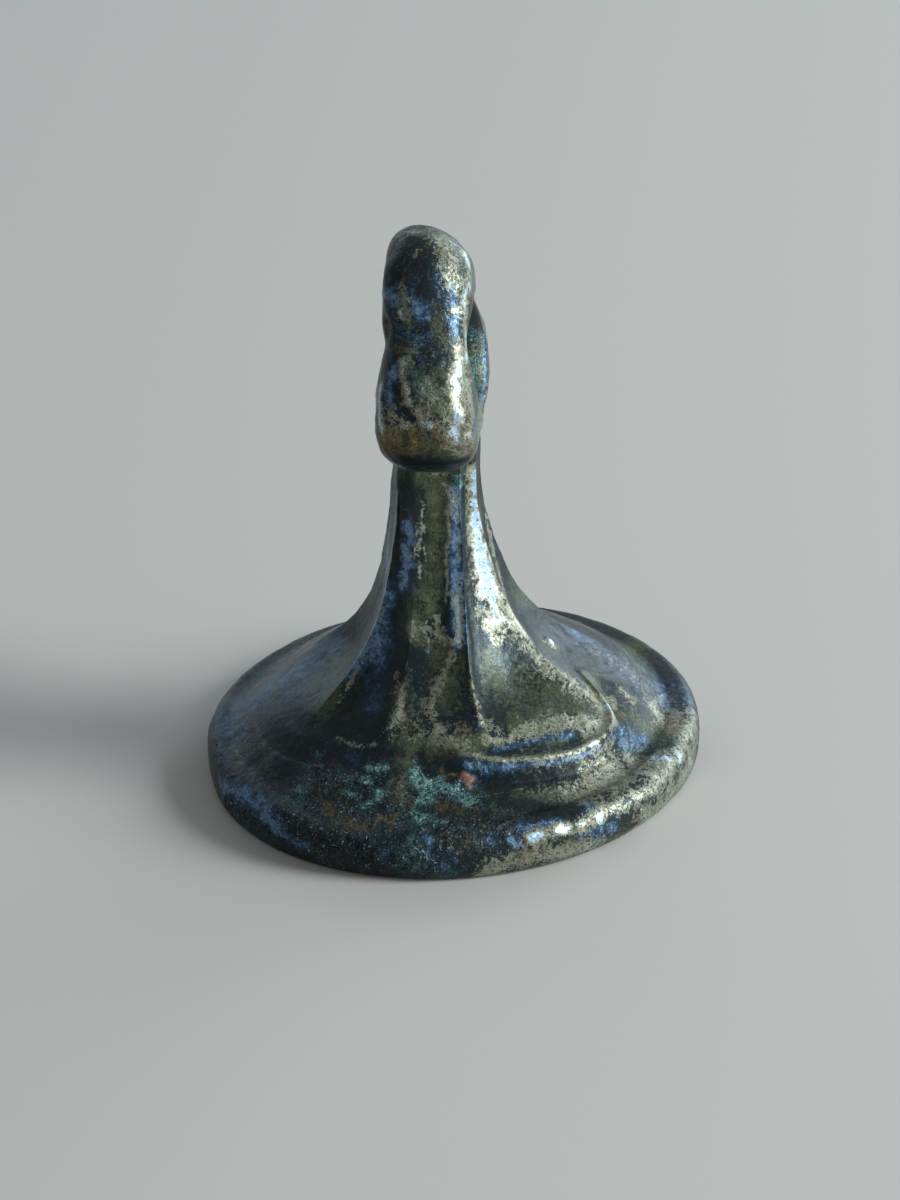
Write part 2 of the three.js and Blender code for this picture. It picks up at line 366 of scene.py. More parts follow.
def press_facets(curves, bearings):
    """Presses the part of the outlines above the bead into facets."""
    strength = smooth(*FACET_FADE, curves[..., 1])
    curves[..., 0] *= 1 + strength * (facet_share(bearings, curves[..., 1]) - 1)
    return curves


def lean(points):
    """Shifts the shank's outside to the left as seen, and leaves its socket upright."""
    radius = np.hypot(points[..., 0], points[..., 1])
    outside = smooth(SOCKET_RADIUS, NECK_RADIUS - LEAN_IN, radius)
    points[..., 1] += table(LEAN, points[..., 2]) * outside
    return points


# Meshes


def turned_points(curves, bearings):
    """Places outlines, one for each bearing, round the Z axis."""
    x = curves[..., 0] * np.cos(bearings)
    y = curves[..., 0] * np.sin(bearings)
    return np.stack([x, y, curves[..., 1]], -1)


def ring(radius, height):
    """A level circle, as (radius, height) at each bearing."""
    return np.tile([float(radius), float(height)], (COLUMNS, 1))


def straight_rows(start, end, count):
    """Rows straight from one ring towards another, without the last."""
    share = np.linspace(0, 1, count, endpoint=False)[:, None, None]
    return start + (end - start) * share


def skin(name, rows):
    """A closed mesh from rows of points round the axis, closed by a point at each end."""
    points = np.concatenate([rows.reshape(-1, 3), [rows[0].mean(0), rows[-1].mean(0)]])
    here = np.arange(COLUMNS)
    after = np.roll(here, -1)
    faces = []
    for row in range(len(rows) - 1):
        low, high = row * COLUMNS, (row + 1) * COLUMNS
        faces += np.stack([low + here, low + after, high + after, high + here], -1).tolist()
    first, last = np.full(COLUMNS, len(points) - 2), np.full(COLUMNS, len(points) - 1)
    faces += np.stack([here, first, after], -1).tolist()
    faces += np.stack([high + after, last, high + here], -1).tolist()
    return mesh_object(name, points, faces)


def mesh_object(name, points, faces):
    """An object in metres from points in millimetres."""
    mesh = bpy.data.meshes.new(name)
    mesh.from_pydata((np.asarray(points) * MM).tolist(), [], faces)
    mesh.polygons.foreach_set("use_smooth", [True] * len(mesh.polygons))
    mesh.set_sharp_from_angle(angle=math.radians(SHARP_ANGLE))
    mesh.update()
    made = bpy.data.objects.new(name, mesh)
    bpy.context.scene.collection.objects.link(made)
    return made


def vertex_values(piece, key):
    """Three numbers for each of a piece's vertices."""
    flat = np.zeros(len(piece.data.vertices) * 3, np.float32)
    piece.data.vertices.foreach_get(key, flat)
    return flat.reshape(-1, 3).astype(float)


def places(piece):
    """A piece's vertices in millimetres."""
    return vertex_values(piece, "co") / MM


def normals(piece):
    return vertex_values(piece, "normal")


def move(piece, points):
    piece.data.vertices.foreach_set("co", (points * MM).astype(np.float32).ravel())
    piece.data.update()


# Engraving


def fold(bearing, count):
    """The bearing from the middle of the nearest of a count of even sectors round the axis."""
    sector = 2 * np.pi / count
    return (bearing + sector / 2) % sector - sector / 2


def bowl(squared):
    """The depth of a round hollow, 1 in its middle, from the distance there squared."""
    return np.sqrt(np.clip(1 - squared, 0, 1))


def petals(radius, bearing):
    """Hollow petals, each with a vein standing up along it."""
    aside = fold(bearing, PETALS)
    along = (2 * radius * np.cos(aside) - PETAL_START - PETAL_END) / (PETAL_END - PETAL_START)
    across = radius * np.sin(aside) / (PETAL_WIDTH / 2)
    petal = bowl(along**2 + across**2)
    vein = VEIN_SHARE * np.exp(-((across / VEIN_WIDTH_SHARE) ** 2))
    return petal - vein * smooth(0, 0.5, petal)


def hollows(radius, bearing, count, at, half, stretch=1):
    """A count of round hollows at one radius, or long ones that are stretched outwards."""
    aside = fold(bearing, count)
    away = np.hypot((radius * np.cos(aside) - at) / stretch, radius * np.sin(aside)) / half
    return bowl(away**2)


def face_relief(points):
    """How deep the face is cut: a rosette with darts and a ring of pellets, each in a circle."""
    x, y = points[:, 0], points[:, 1]
    radius, bearing = np.hypot(x, y), np.arctan2(y, x)
    between = bearing + np.pi / PETALS
    darts = hollows(radius, between, PETALS, DART_RADIUS, DART_HALF, DART_STRETCH)
    middle = (INNER_CIRCLE + OUTER_CIRCLE) / 2
    pellets = hollows(radius, bearing, PELLETS, middle, PELLET_RADIUS)
    circles = [1 - np.abs(radius - at) / (CIRCLE_WIDTH / 2) for at in (INNER_CIRCLE, OUTER_CIRCLE)]
    rosette = [petals(radius, bearing), bowl((radius / EYE_RADIUS) ** 2), DART_DEPTH_SHARE * darts]
    return ENGRAVING_DEPTH * np.maximum.reduce([*rosette, pellets, *np.clip(circles, 0, 1)])


# The three pieces


def make_die():
    bearings = np.linspace(0, 2 * np.pi, COLUMNS, endpoint=False)
    side = split_outlines(bearings, outside=True)
    recess_edge = ring(SEAM_RADIUS, RECESS_FLOOR)
    face = straight_rows(ring(FACE_MIDDLE, 0), side[0], FACE_ROWS)
    wall = straight_rows(side[-1], recess_edge, SEAM_ROWS)[1:]
    floor = straight_rows(recess_edge, ring(FLOOR_MIDDLE, RECESS_FLOOR), FLOOR_ROWS)
    rows = turned_points(np.concatenate([face, side, wall, floor]), bearings)
    piece = skin("die", rows)
    points = places(piece)
    under = points[:, 2] < UNDERSIDE
    points[under, 2] += face_relief(points[under])
    move(piece, points)
    return piece


def make_shank():
    bearings = np.linspace(0, 2 * np.pi, COLUMNS, endpoint=False)
    outline = press_facets(split_outlines(bearings, outside=False), bearings)
    foot, mouth = ring(SEAM_RADIUS, RECESS_FLOOR), ring(SOCKET_RADIUS, NECK_HEIGHT)
    bottom = ring(SOCKET_RADIUS, SOCKET_FLOOR)
    floor = straight_rows(ring(FLOOR_MIDDLE, RECESS_FLOOR), foot, FLOOR_ROWS)
    wall = straight_rows(foot, outline[0], SEAM_ROWS)
    top = straight_rows(outline[-1], mouth, TOP_ROWS)[1:]
    socket = straight_rows(mouth, bottom, SOCKET_ROWS)
    end = straight_rows(bottom, ring(SOCKET_MIDDLE, SOCKET_FLOOR), SOCKET_END_ROWS)
    rows = turned_points(np.concatenate([floor, wall, outline, top, socket, end]), bearings)
    return skin("faceted_shank", lean(rows))


def lobe(x, z, aside, form):
    """The field of a round lobe between the head's sides, with a rounded edge."""
    centre_x, centre_z, radius, squareness = form
    distance = np.hypot(x - centre_x, z - centre_z)
    out = np.maximum(distance - (radius - LOBE_EDGE), 0) / LOBE_EDGE
    return LOBE_EDGE * ((out**squareness + np.abs(aside) ** squareness) ** (1 / squareness) - 1)


def join(a, b, blend):
    """Two fields as one, with a fillet where they meet."""
    mix = np.clip(0.5 + (b - a) / (2 * blend), 0, 1)
    return b + (a - b) * mix - blend * mix * (1 - mix)


def head_field(x, y, z):
    """Below zero inside the head, and about a millimetre a unit near its skin."""
    heights, low, high = zip(*HEAD_SIDES)
    low_side, high_side = np.interp(z, heights, low), np.interp(z, heights, high)
    aside = (2 * y - low_side - high_side) / (high_side - low_side)
    centre_x, centre_z, radius, squareness = TOP_LOBE
    top = (centre_x, centre_z, radius - TOP_SKEW * aside, squareness)
    whole = lobe(x, z, aside, BODY)
    for form in (top, *SIDE_LOBES):
        whole = join(whole, lobe(x, z, aside, form), LOBE_BLEND)
    neck_radius = NECK_RADIUS * facet_share(np.arctan2(y, x), np.full_like(z, NECK_HEIGHT))
    neck = np.maximum(np.hypot(x, y) - neck_radius, z - HOLE_HEIGHT)
    whole = join(whole, neck, EDGE_BLEND)
    hole_radius = HOLE_RADIUS + HOLE_MOUTH * np.abs(aside) ** HOLE_MOUTH_POWER
    hole = hole_radius - np.hypot(x, z - HOLE_HEIGHT)
    whole = -join(-whole, -hole, EDGE_BLEND)
    whole = np.maximum(whole, NECK_HEIGHT - z)
    tang_ends = np.maximum(TANG_END - z, z - NECK_HEIGHT - TANG_RISE)
    tang = np.maximum(np.hypot(x, y) - TANG_RADIUS, tang_ends)
    return np.minimum(whole, tang)


def make_head():
    low = np.array([-HEAD_REACH - FIELD_MARGIN, -FIELD_HALF_DEPTH, TANG_END - FIELD_MARGIN])
    low[2] = NECK_HEIGHT - VOXEL * math.ceil((NECK_HEIGHT - low[2]) / VOXEL)
    spans = (2 * -low[0], 2 * -low[1], HEAD_TOP + FIELD_MARGIN - low[2])
    axes = [start + VOXEL * np.arange(math.ceil(span / VOXEL)) for start, span in zip(low, spans)]
    field = head_field(*np.meshgrid(*axes, indexing="ij"))
    grid = openvdb.FloatGrid(background=1.0)
    grid.copyFromArray(field.astype(np.float32))
    points, quads = grid.convertToQuads(isovalue=0.0)
    return mesh_object("pierced_head", points * VOXEL + low, quads.astype(int).tolist())


# The camera


def camera_axes():
    """The camera's right, top and back directions, and its place in millimetres."""
    flat = math.cos(CAMERA_ELEVATION)
    level = np.array([math.cos(CAMERA_YAW), math.sin(CAMERA_YAW), 0])
    back = np.array([level[1] * flat, -level[0] * flat, math.sin(CAMERA_ELEVATION)])
    up = np.cross(back, level)
    right = math.cos(CAMERA_ROLL) * level - math.sin(CAMERA_ROLL) * up
    top = math.sin(CAMERA_ROLL) * level + math.cos(CAMERA_ROLL) * up
    eye = TARGET_ASIDE * level + np.array([0, 0, TARGET_HEIGHT]) + CAMERA_DISTANCE * back
    return right, top, back, eye


def make_camera():
    right, top, back, eye = camera_axes()
    data = bpy.data.cameras.new("camera")
    data.sensor_width = SENSOR
    data.lens = SENSOR * FOCAL_PIXELS / PHOTO_HEIGHT
    data.clip_start, data.clip_end = CAMERA_NEAR * MM, CAMERA_FAR * MM
    camera = bpy.data.objects.new("camera", data)
    bpy.context.scene.collection.objects.link(camera)
    turn = Matrix([right, top, back]).transposed().to_4x4()
    camera.matrix_world = Matrix.Translation(Vector(eye * MM)) @ turn
    bpy.context.scene.camera = camera


# Marks: what the photograph shows on the surface, as strokes. Each is an amount, a half width in
# pixels, and the pixels of its path.

# Bare, worn metal; strokes with an amount near 1 also paint highlights, as bright polished metal where
# the lamp's sheen falls
BARE_AND_PAINTED_SHEEN = (
    (0.8, 5, (402, 234), (412, 231), (420, 231)),
    (0.35, 6, (428, 236), (440, 240)),
    (1.0, 2.5, (414, 256), (418, 251)),
    (0.5, 12, (440, 243), (450, 262), (457, 285)),
    (0.9, 6, (452, 238), (464, 248), (469, 262), (470, 280), (466, 296)),
    (0.7, 4, (451, 310), (461, 310)),
    (0.9, 4, (464, 300), (465, 330), (466, 360)),
    # a painted highlight down the head's right side
    (0.92, 8, (459, 348), (458, 375), (457, 410), (456, 438)),
    (0.8, 7, (468, 385), (472, 410), (471, 440), (466, 452)),
    # a painted glint
    (1.0, 2.2, (400, 312), (402, 319)),
    (0.4, 4, (400, 285), (404, 300), (407, 320)),
    (0.75, 3, (401, 360), (402, 378), (405, 390), (408, 404), (415, 414), (422, 421), (430, 426)),
    (0.6, 4, (404, 392), (407, 404)),
    # a painted highlight along the head's left edge
    (1.0, 4, (380, 386), (379, 404), (379, 420), (382, 434)),
    (0.6, 5, (386, 408), (392, 420)),
    (0.5, 3, (388, 250), (393, 240), (400, 233)),
    (0.65, 7, (382, 424), (390, 432), (404, 428)),
    (0.6, 8, (424, 422), (436, 430), (450, 438)),
    (0.5, 5, (448, 446), (456, 453)),
    (0.4, 6, (412, 350), (408, 362)),
    (0.3, 9, (428, 392), (436, 404)),
    (0.35, 3, (430, 473), (446, 474)),
    (0.5, 3.5, (446, 486), (452, 500), (448, 511)),
    (0.6, 2, (423, 503), (421, 530), (419, 556), (420, 578)),
    (0.6, 1.6, (417, 524), (416, 536)),
    (0.6, 1.6, (415, 547), (414, 556)),
    (0.7, 1.1, (424, 526), (425, 534)),
    (0.7, 1.1, (424, 547), (426, 560)),
    (0.7, 2, (449, 513), (449, 540), (446, 560), (447, 580), (446, 602)),
    (0.3, 3, (458, 500), (457, 530), (458, 560), (460, 590), (460, 630)),
    # painted sheen down the neck's right facet
    (1.0, 9, (475, 473), (474, 500), (476, 530), (480, 560), (485, 590)),
    (0.85, 9, (484, 560), (492, 590), (497, 615)),
    (0.6, 5, (487, 478), (488, 520), (495, 562), (507, 600), (522, 630)),
    (0.6, 10, (506, 606), (518, 630), (530, 648), (544, 664), (566, 680), (588, 694), (604, 704)),
    # a painted highlight on a bump of the ridge
    (1.0, 7, (549, 643)),
    (0.55, 8, (478, 612), (498, 640)),
    (0.9, 3.5, (457, 596), (459, 642)),
    (0.55, 6, (412, 622), (412, 639)),
    (0.5, 5, (427, 622), (428, 640)),
    (0.6, 4, (437, 618), (440, 640), (450, 640)),
    (0.5, 2.6, (366, 657), (354, 676), (340, 702)),
    (0.35, 3, (381, 608), (380, 624)),
    (0.48, 5, (452, 655), (446, 668), (440, 680), (436, 690), (431, 700), (430, 712),
              (434, 723), (441, 731)),
    (0.48, 5, (396, 674), (398, 698), (401, 708), (396, 720), (389, 732)),
    (0.5, 3, (472, 680), (471, 692), (477, 704), (480, 722)),
    (0.5, 4, (432, 741), (450, 744), (468, 746)),
    (0.3, 12, (410, 732), (450, 736), (490, 734)),
    (0.6, 9, (516, 734), (545, 724), (570, 722), (590, 724)),
    (0.6, 3, (488, 742), (512, 740)),
    (0.15, 20, (500, 690), (550, 706)),
    (0.75, 3, (462, 753), (482, 757), (505, 760), (530, 758), (556, 755), (578, 750), (594, 741)),
    (0.75, 9, (594, 738), (606, 726), (612, 714), (608, 702)),
    (0.5, 2.6, (338, 738), (352, 744), (362, 748), (374, 744)),
    (0.75, 17, (580, 794), (606, 785), (630, 773), (652, 760)),
    (0.65, 8, (655, 758), (676, 754)),
    (0.6, 8, (604, 812), (630, 800), (650, 790), (668, 772), (680, 755), (683, 735), (676, 716)),
    # a painted highlight along the rim's crest
    (0.93, 6, (530, 838), (556, 832), (582, 824), (600, 818)),
    (0.75, 10, (482, 874), (505, 866), (535, 858), (570, 852), (612, 844), (640, 826)),
    (0.72, 14, (640, 824), (662, 806), (682, 784), (690, 764)),
    (0.7, 7, (652, 706), (664, 722), (674, 734)),
    (0.5, 5, (622, 690), (632, 702)),
    (0.4, 7, (636, 664), (644, 672)),
    (0.3, 20, (600, 650), (640, 680), (680, 720)),
    (0.4, 16, (540, 770), (580, 766), (610, 757)),
    (0.5, 8, (692, 760), (696, 735), (694, 712)),
)
# Blue patina together with painted reflections of sky on the glossy dark patina; the strongest strokes
# turn pale blue, a painted sheen
BLUE = (
    (0.8, 6, (384, 293), (392, 294), (397, 300)),
    (0.9, 5, (453, 286), (455, 305)),
    (0.6, 7, (455, 318), (456, 340)),
    (1.0, 8, (395, 364), (393, 378), (388, 392), (388, 404)),
    (0.6, 4, (412, 298), (417, 314)),
    (0.55, 5, (418, 344), (421, 362)),
    (0.4, 7, (446, 380), (446, 402)),
    (0.35, 9, (398, 335), (396, 350)),
    (0.7, 4, (484, 324), (486, 350), (485, 380), (482, 398)),
    (1.0, 9, (410, 530), (407, 556), (406, 584)),
    (0.5, 5, (440, 262), (436, 280)),
    (0.5, 5, (420, 300), (424, 318)),
    (0.6, 5, (416, 338), (430, 334)),
    (0.45, 6, (409, 500), (409, 530)),
    (0.6, 4, (391, 520), (388, 548)),
    (0.85, 13, (388, 566), (384, 600), (374, 636), (360, 664)),
    # painted sky sheen down the neck's facet
    (1.0, 7.5, (456, 490), (456, 520), (455, 545), (457, 575), (458, 605), (458, 640)),
    (0.6, 8, (478, 604), (490, 612), (486, 632)),
    (0.4, 14, (500, 650), (512, 690)),
    (0.5, 3, (476, 722), (478, 730)),
    (0.75, 4, (494, 750), (512, 747), (530, 741), (550, 736), (572, 735)),
    # painted sky reflection on the bead's outer slope
    (1.0, 4.5, (470, 766), (500, 767), (525, 765), (560, 762), (580, 757), (600, 747)),
    (0.75, 10, (612, 738), (628, 730), (642, 742), (622, 746)),
    (0.75, 2.5, (622, 806), (640, 798), (655, 786), (668, 772)),
    (0.8, 8, (582, 834), (600, 829), (614, 829), (590, 844)),
    (0.9, 5, (588, 811), (600, 814)),
    (0.85, 5.5, (560, 820), (540, 826), (516, 828)),
    (1.0, 4, (510, 840), (522, 846)),
    (0.8, 4, (490, 834), (492, 842)),
    (0.6, 6, (572, 800), (590, 803)),
    (0.75, 5, (664, 696), (670, 712)),
    (0.6, 9, (466, 764), (488, 771), (512, 772)),
    (0.5, 12, (396, 852), (426, 858), (446, 864)),
    (0.9, 4, (424, 833), (427, 843)),
    (1.0, 11, (222, 786), (246, 798), (264, 812), (276, 828)),
    (0.8, 7, (286, 838), (306, 846)),
    (0.5, 34, (316, 656), (286, 678), (258, 696), (238, 714), (226, 735)),
    (0.35, 12, (330, 745), (350, 756)),
    (0.55, 16, (384, 640), (376, 700)),
    (0.55, 26, (590, 640), (640, 680), (680, 700)),
)
OLIVE = (
    (0.6, 10, (434, 232), (446, 250), (444, 272)),
    (0.9, 6, (400, 284), (404, 300), (408, 322)),
    (0.8, 9, (436, 315), (436, 328)),
    (0.8, 14, (424, 384), (430, 404)),
    (0.8, 12, (400, 456), (420, 448), (436, 444), (446, 454)),
    (0.6, 8, (412, 352), (408, 364)),
    (1.0, 11, (440, 482), (440, 520), (438, 560), (434, 590), (424, 610)),
    (0.9, 12, (416, 624), (420, 640)),
    (0.7, 12, (440, 652), (448, 672), (440, 700)),
    (0.8, 8, (398, 690), (400, 715)),
    (0.8, 14, (492, 660), (508, 690)),
    (0.5, 30, (500, 680), (550, 705)),
    (0.8, 12, (410, 745), (440, 745), (480, 742)),
    (0.9, 7, (406, 764), (402, 780), (394, 792), (396, 799)),
    (0.6, 14, (520, 795), (560, 790)),
    (0.6, 20, (340, 660), (330, 700)),
)
TEAL = (
    (1.0, 7, (416, 771), (421, 784), (432, 788), (424, 797)),
    (0.7, 9, (440, 784), (458, 794), (472, 800)),
    (0.75, 4, (368, 768), (386, 768)),
    (0.65, 5, (364, 779), (370, 780)),
    (0.85, 5, (379, 792), (374, 800), (362, 808)),
    (0.6, 5, (338, 775), (346, 780)),
    (0.7, 4, (344, 792), (350, 794)),
    (0.4, 4, (318, 754), (322, 766)),
    (0.4, 4, (302, 788), (308, 790)),
    (0.8, 5, (413, 814), (421, 820)),
    (0.5, 4, (434, 820), (446, 822)),
    (0.65, 4, (454, 829), (462, 828)),
    (0.2, 13, (412, 668), (416, 690), (420, 706)),
    (0.9, 4, (457, 478), (462, 486)),
    (0.5, 6, (660, 738), (672, 742)),
    (0.3, 8, (410, 330), (426, 345), (434, 345)),
    (0.35, 6, (412, 374), (418, 380)),
    (0.5, 9, (473, 330), (474, 370), (476, 392)),
    (0.35, 10, (500, 806), (516, 812)),
    (0.7, 3.5, (428, 652)),
    (0.2, 10, (400, 850), (412, 856)),
)
RUST = (
    (0.9, 9, (384, 438), (394, 437), (404, 441)),
    (1.0, 5, (410, 434), (412, 447)),
    (0.5, 7, (434, 432), (446, 440)),
    (0.55, 5, (468, 447), (472, 460)),
    (0.5, 8, (386, 448), (396, 456)),
    (0.7, 5, (398, 350), (400, 354)),
    (0.4, 3, (373, 630), (369, 646)),
    (0.8, 2.6, (450, 774), (457, 775)),
    (0.8, 2.6, (442, 769), (444, 776)),
    (0.6, 5, (326, 800), (330, 812)),
    (0.7, 4, (378, 814), (389, 822), (396, 816)),
    (0.4, 7, (398, 826), (410, 822)),
    (0.4, 7, (340, 818), (362, 828), (372, 822)),
    (0.6, 4, (411, 807)),
    (0.4, 10, (440, 806), (472, 808)),
    (0.5, 5, (296, 752)),
    (0.5, 5, (318, 690)),
)
SALMON = (
    (1.0, 4, (465, 775), (470, 779)),
    (0.6, 3, (470, 787)),
    (0.5, 4, (474, 346), (475, 352)),
)
# Dark patina, and painted shade: in the notch between the head's lobes, inside the hole, under the lobes
# at the neck, in the neck's grooves and in the hollow inside the rim
DARK = (
    (0.5, 13, (402, 246), (412, 262), (400, 276), (396, 270)),
    (0.7, 9, (428, 240), (426, 270), (424, 290)),
    # painted shade in the notch between the lobes
    (1.0, 4, (387, 312), (388, 336)),
    (0.9, 8, (437, 352), (446, 356)),
    (0.8, 4, (406, 410), (413, 420)),
    (0.8, 4, (396, 356), (394, 361)),
    (0.9, 4, (394, 386), (398, 394)),
    # painted shadow under the head's lobes
    (1.0, 6, (402, 458), (424, 464), (450, 464), (468, 460)),
    (0.8, 4, (406, 434), (406, 444)),
    # painted shade inside the hole
    (1.0, 8, (476, 304), (477, 318)),
    # painted shade in the neck's groove
    (1.0, 2.2, (397, 474), (397, 520), (396, 556)),
    (0.8, 6, (408, 474), (412, 500)),
    # painted shade in the groove
    (1.0, 2.6, (464, 488), (465, 530), (466, 560), (468, 590), (470, 615), (474, 645), (477, 690)),
    (0.6, 4, (471, 600), (474, 640), (478, 686)),
    (0.9, 7, (410, 650), (420, 656)),
    (0.4, 8, (395, 620), (393, 650), (390, 700)),
    (0.25, 26, (510, 690), (556, 706)),
    (0.7, 9, (352, 700), (340, 725)),
    # painted shade in the hollow inside the rim
    (1.0, 9, (500, 783), (540, 779), (572, 773)),
    (0.8, 8, (500, 802), (540, 806), (570, 812)),
    (1.0, 3.5, (630, 828), (638, 824)),
    (0.9, 4, (500, 836), (504, 846)),
    (0.9, 10, (256, 760), (240, 775), (232, 770)),
    (0.6, 18, (270, 720), (290, 760), (270, 780)),
)
# Grit, as relief, which also carries painted glints in the materials
GRIT_AND_GLINTS = (
    (0.5, 7, (398, 236), (412, 227), (428, 227), (440, 232)),
    (0.2, 14, (446, 242), (460, 262), (462, 285)),
    (0.25, 16, (400, 330), (420, 340), (440, 350), (430, 390)),
    (1.0, 17, (230, 800), (268, 822), (300, 836), (345, 846), (392, 856), (430, 862)),
    (0.7, 14, (300, 806), (350, 812), (400, 822), (450, 830), (500, 828)),
    (0.5, 14, (320, 776), (370, 782), (400, 790)),
    (0.8, 10, (424, 784), (450, 790), (468, 782)),
    (0.5, 6, (340, 780), (372, 776), (376, 798)),
    (0.3, 14, (430, 850), (470, 850)),
    (0.4, 8, (470, 766), (510, 768)),
)

# Grooves, as strokes with a depth in millimetres. A ridge has a depth below zero.
GROOVES = (
    (0.04, 6, (459, 490), (460, 530), (461, 560), (463, 590)),
    (-0.05, 4, (450, 500), (449, 540), (448, 580), (449, 620), (454, 650)),
    (0.035, 3.2, (463, 490), (464, 530), (465, 560), (467, 590), (470, 615), (475, 645), (478, 690)),
    (0.07, 2.6, (397, 474), (397, 520), (396, 556)),
    (-0.02, 3, (396, 674), (400, 704), (390, 731)),
    (-0.04, 4.5, (452, 655), (440, 680), (430, 706), (436, 728)),
    (-0.03, 3, (366, 657), (354, 676), (340, 702)),
    (-0.04, 3.5, (472, 680), (477, 704), (480, 722)),
    (-0.14, 6, (549, 643)),
    (-0.06, 2.6, (401, 360), (402, 378), (405, 390), (409, 404), (416, 414), (430, 426)),
    (0.12, 5, (385, 322), (386, 332)),
    (0.12, 11, (450, 236), (464, 244)),
    (0.06, 9, (396, 240), (392, 250)),
    (0.04, 6, (440, 352), (448, 352)),
    (0.05, 7, (412, 330), (420, 336)),
    (0.05, 6, (436, 380), (440, 400)),
    (-0.04, 6, (398, 296), (406, 308)),
    (0.08, 6, (404, 410), (416, 424)),
    (0.06, 5, (452, 420), (457, 432)),
    (-0.07, 3.5, (464, 776), (470, 780)),
    (0.06, 5, (634, 826), (638, 824)),
    (0.05, 4, (410, 643), (432, 645)),
    (0.06, 4, (604, 838), (620, 832)),
    (0.05, 3, (463, 434), (470, 432)),
    (0.04, 3, (448, 448), (456, 449)),
)


# Wear and corrosion, with painted highlights, reflections and shade

KINDS = {
    "bare": BARE_AND_PAINTED_SHEEN,
    "blue": BLUE,
    "olive": OLIVE,
    "teal": TEAL,
    "rust": RUST,
    "salmon": SALMON,
    "grit": GRIT_AND_GLINTS,
}
# How much of each kind is strewn all over a piece
EVERYWHERE = {
    "die": {"bare": 0.12, "blue": 0.2, "olive": 0.5, "teal": 0.3, "rust": 0.14},
    "faceted_shank": {"bare": 0.1, "blue": 0.2, "olive": 0.5, "teal": 0.16, "rust": 0.06},
    "pierced_head": {"bare": 0.4, "blue": 0.35, "olive": 0.55, "teal": 0.14, "rust": 0.16},
}
PATCH_SIZE, PATCH_SHIFT = 2.2, 9  # of what is strewn, and how far apart the kinds' noises are read
PATCH_NOISE = (-0.2, 1.0)  # from bare ground to a full patch
THIN_SHARE, PATCH_SHARE, HIDDEN_SHARE = 0.4, 1.2, 0.5

PIXEL_STEP = 2  # between the places where a stroke is laid on the pieces
MM_PER_PIXEL = CAMERA_DISTANCE / FOCAL_PIXELS
STROKE_REACH, STROKE_FALL = 3, 0.7  # the half widths where a stroke ends, and how fast it fades
RAGGED_SIZE, RAGGED_SHARE = 0.28, 0.6  # of the noise that moves a stroke's edge
GROOVE_RAGGED_SHARE = 0.2
SEEN_IN_FULL = 0.35  # the cosine between the way out and the way to the camera

MOST_BULGE, BULGE_ROUNDS = 6, 12  # its limit, and how often it is evened out
WORN_BULGE, WORN_SHARE, HIDDEN_WORN_SHARE = (0.25, 1.6), 0.35, 0.4  # how bare the ridges are
HOLLOW_DARK_BULGE, HOLLOW_DARK_SHARE = (0.3, 1.5), 0.6  # how dark the hollows are
# the kinds that the dark strokes, with their painted shade, hide
UNDER_DARK_AND_SHADE, DARK_AND_SHADE_HIDES_SHARE = ("bare", "blue", "olive", "teal", "rust"), 0.7

# The height and the size across of what moves the skin
DENT_HEIGHT, DENT_SIZE = 0.022, 1.3
HEAD_DENT_HEIGHT, HEAD_DENT_SIZE = 0.03, 1.7
RIPPLE_HEIGHT, RIPPLE_SIZE = 0.005, 0.2
PIT_DEPTH, PIT_SIZE = 0.03, 0.62
PITTED_SIZE, PITTED_NOISE = 1.6, (0.15, 0.6)  # of the patches that have pits
GRAIN_HEIGHT, GRAIN_SIZE = 0.075, 0.34
GRIT_PIT_DEPTH, GRIT_PIT_SIZE, GRIT_PIT_SHIFT = 0.08, 0.26, 7
# The heights between which a piece's skin begins to be moved, above its flat underside
CALM = {
    "die": (0, 0.25),
    "faceted_shank": (0, 0.25),
    "pierced_head": (NECK_HEIGHT - 0.1, NECK_HEIGHT + 0.5),
}


def photo_ray(x, y):
    """The direction in which the camera sees a pixel of the photograph."""
    right, top, back, _ = camera_axes()
    aside, up = (x - PHOTO_WIDTH / 2) / FOCAL_PIXELS, (PHOTO_HEIGHT / 2 - y) / FOCAL_PIXELS
    return Vector(aside * right + up * top - back).normalized()


def cast(path, trees):
    """Where a path drawn on the photograph meets the pieces, as points in millimetres."""
    eye = Vector(camera_axes()[3] * MM)
    path = np.array(path, float)
    legs = np.linalg.norm(np.diff(path, axis=0), axis=1)
    along = np.concatenate([[0], np.cumsum(legs)])
    steps = np.linspace(0, along[-1], int(along[-1] / PIXEL_STEP) + 1)
    found = []
    for x, y in zip(np.interp(steps, along, path[:, 0]), np.interp(steps, along, path[:, 1])):
        hits = [tree.ray_cast(eye, photo_ray(x, y)) for tree in trees]
        hits = [(hit[3], hit[0]) for hit in hits if hit[0] is not None]
        if hits:
            found.append(np.array(min(hits, key=lambda hit: hit[0])[1]) / MM)
    return np.array(found)


def laid(strokes, trees):
    """Strokes whose paths are laid on the pieces, and whose half widths are in millimetres."""
    return [(amount, half * MM_PER_PIXEL, cast(path, trees)) for amount, half, *path in strokes]


def cover(points, path, half, ragged):
    """How much a stroke covers each point: nearly 1 on its path, fading out past its half width."""
    middle = path.mean(0)
    reach = np.linalg.norm(path - middle, axis=1).max() + STROKE_REACH * half
    near = np.flatnonzero(np.linalg.norm(points - middle, axis=1) < reach)
    gap = np.full(len(near), np.inf)
    for step in path:
        gap = np.minimum(gap, np.linalg.norm(points[near] - step, axis=1))
    gap = np.maximum(gap / half + RAGGED_SHARE * ragged[near], 0)
    share = np.zeros(len(points))
    share[near] = np.exp(-STROKE_FALL * gap**2)
    return share


